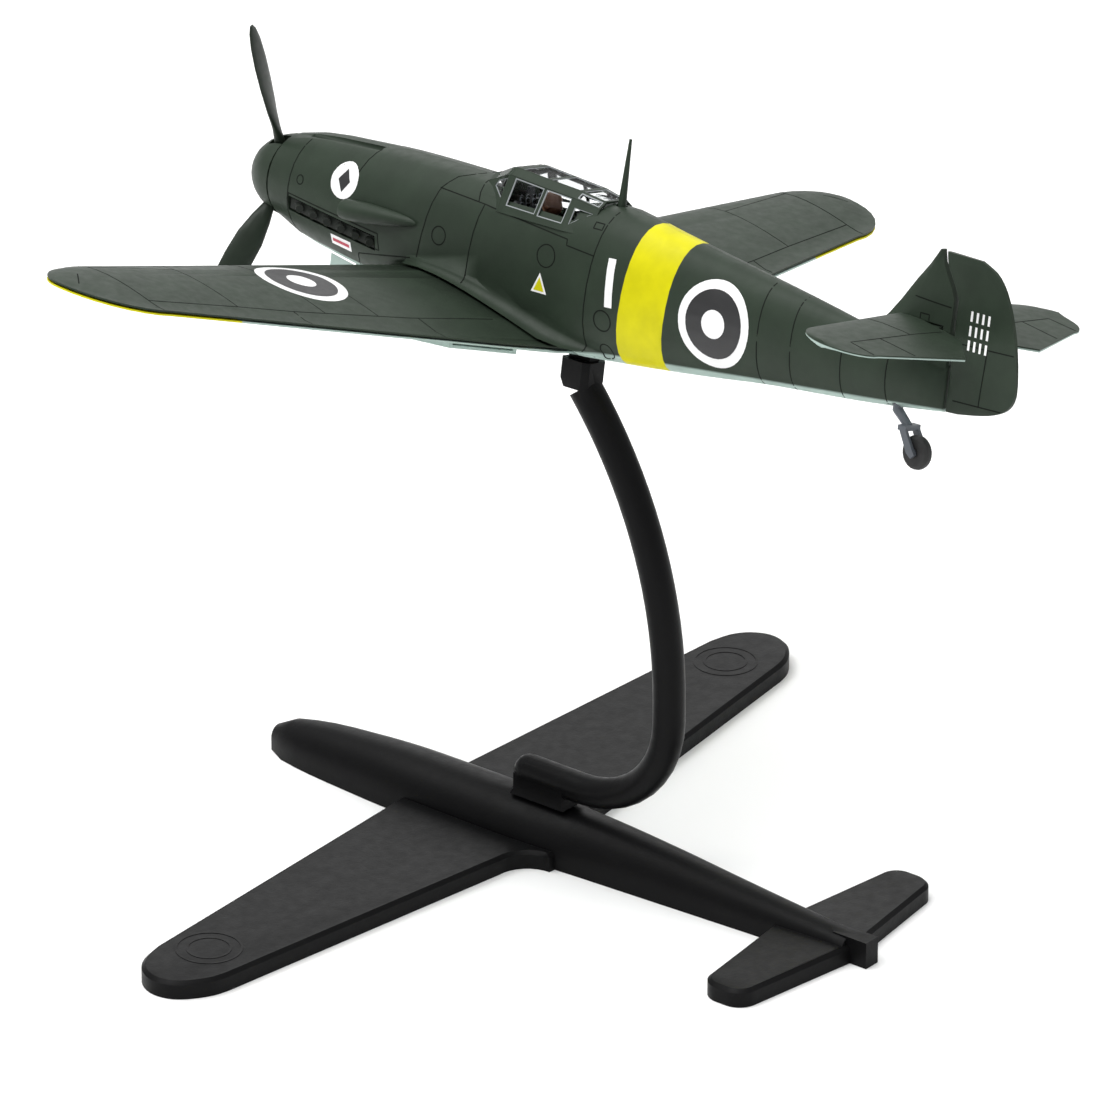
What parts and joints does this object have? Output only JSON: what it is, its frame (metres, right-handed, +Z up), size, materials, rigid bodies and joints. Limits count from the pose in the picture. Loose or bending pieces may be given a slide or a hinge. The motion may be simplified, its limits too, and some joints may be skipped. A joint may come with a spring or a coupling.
{
  "type": "display model aeroplane on a stand",
  "caption": "plastic scale model of a single-engined propeller fighter, wheels up and banked, on a black stand with a curved arm and an aircraft-shaped base",
  "frame": {"origin": "centre line of the base on its underside, directly below the plane", "axes": "+X to the base's starboard side, +Y towards the base's nose, +Z up; the plane above is yawed, nose-down and banked from these axes"},
  "size_m": [0.1307, 0.1221, 0.0947],
  "materials": {
    "dark_green": "satin",
    "pale_blue_green": "satin",
    "black_detail": "satin",
    "leg_grey": "satin",
    "tyre_black": "matt",
    "burnt_metal": "matt",
    "cockpit_grey": "matt",
    "flying_suit": "matt",
    "clear_plastic": "clear gloss",
    "stand_black": "satin, finely textured"
  },
  "bodies": {
    "stand": {"stand_base": "stand_black"},
    "arm": {"stand_arm": "stand_black"},
    "airframe": {"fuselage_left": "dark_green", "fuselage_right": "dark_green", "wing_lower": "pale_blue_green", "wing_upper_left": "dark_green", "wing_upper_right": "dark_green", "tailplane_left": "dark_green", "tailplane_right": "dark_green", "cockpit_floor": "cockpit_grey", "pilot_seat": "cockpit_grey", "control_column": "burnt_metal", "instrument_panel": "cockpit_grey", "pilot_figure": "flying_suit", "windscreen": "clear_plastic", "canopy_hood": "clear_plastic", "rear_glazing": "clear_plastic", "antenna_mast": "dark_green", "exhaust_left": "burnt_metal", "exhaust_right": "burnt_metal", "supercharger_intake": "dark_green", "oil_cooler": "pale_blue_green", "oil_cooler_core": "black_detail", "radiator_left": "pale_blue_green", "radiator_right": "pale_blue_green", "radiator_core_left": "black_detail", "radiator_core_right": "black_detail", "main_wheel_left": "black_detail", "main_wheel_right": "black_detail", "gear_door_left": "pale_blue_green", "gear_door_right": "pale_blue_green", "tail_wheel_leg": "leg_grey"},
    "propeller": {"spinner": "dark_green", "propeller": "black_detail", "propeller_shaft": "black_detail", "shaft_retainer": "black_detail"},
    "rudder": {"rudder": "dark_green"},
    "tail_wheel": {"tail_wheel": "tyre_black"}
  },
  "joints": [
    {"name": "arm_pull_out", "type": "slide", "parent": "stand", "child": "arm", "axis": [0, 0, 1], "range_m": [0, 0.03]},
    {"name": "plane_lift_off", "type": "slide", "parent": "arm", "child": "airframe", "axis": [0.2354, 0.0507, 0.9706], "range_m": [0, 0.03]},
    {"name": "propeller_spin", "type": "hinge", "parent": "airframe", "child": "propeller", "pos_m": [0.00777, 0.04164, 0.07282], "axis": [0.0878, 0.9934, -0.0732], "continuous": true},
    {"name": "rudder_hinge", "type": "hinge", "parent": "airframe", "child": "rudder", "pos_m": [-0.00106, -0.06615, 0.08369], "axis": [0.2354, 0.0507, 0.9706], "range_deg": [-20, 20]},
    {"name": "tail_wheel_spin", "type": "hinge", "parent": "airframe", "child": "tail_wheel", "pos_m": [-0.00373, -0.06263, 0.07086], "axis": [0.9679, -0.1024, -0.2294], "continuous": true}
  ]
}
